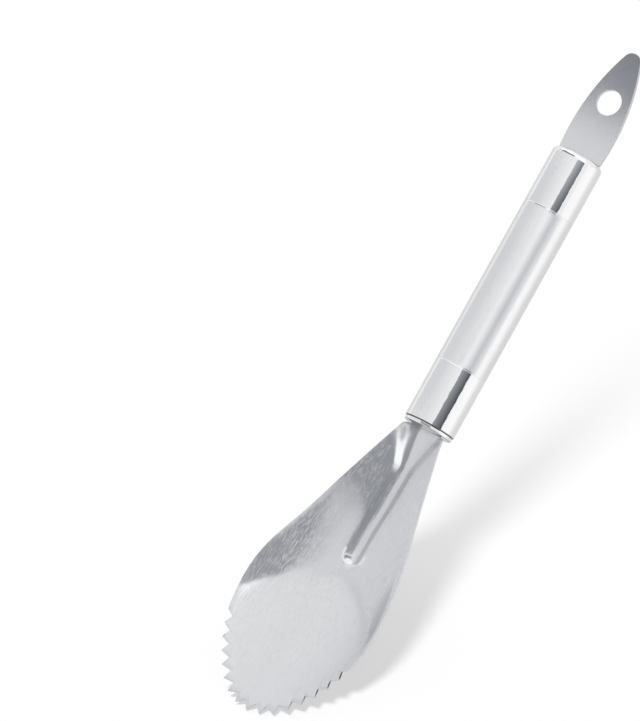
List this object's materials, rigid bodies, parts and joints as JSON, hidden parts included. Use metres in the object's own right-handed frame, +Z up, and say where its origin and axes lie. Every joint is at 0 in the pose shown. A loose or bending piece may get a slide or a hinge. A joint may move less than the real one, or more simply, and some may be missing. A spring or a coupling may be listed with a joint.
{
  "type": "citrus peeler",
  "caption": "Hand tool for peeling large citrus: a dished, grooved steel scoop with a toothed tip on a round tubular handle with a flat hanging tab.",
  "frame": {"origin": "middle of the tool's length and width, at the lowest line of the handle tube", "axes": "+X along the handle towards the toothed tip, +Y across the blade, +Z up, out of the scoop's hollow side"},
  "size_m": [0.267, 0.0564, 0.0277],
  "materials": {
    "blade_steel": "brushed",
    "handle_steel": "polished",
    "plug_plastic": "matte"
  },
  "bodies": {
    "root": {"scoop_blade": "blade_steel", "front_cap": "handle_steel", "front_plug_upper": "plug_plastic", "front_plug_lower": "plug_plastic", "handle_tube": "handle_steel", "rear_plug_upper": "plug_plastic", "rear_plug_lower": "plug_plastic", "hang_tab": "handle_steel"}
  },
  "joints": []
}
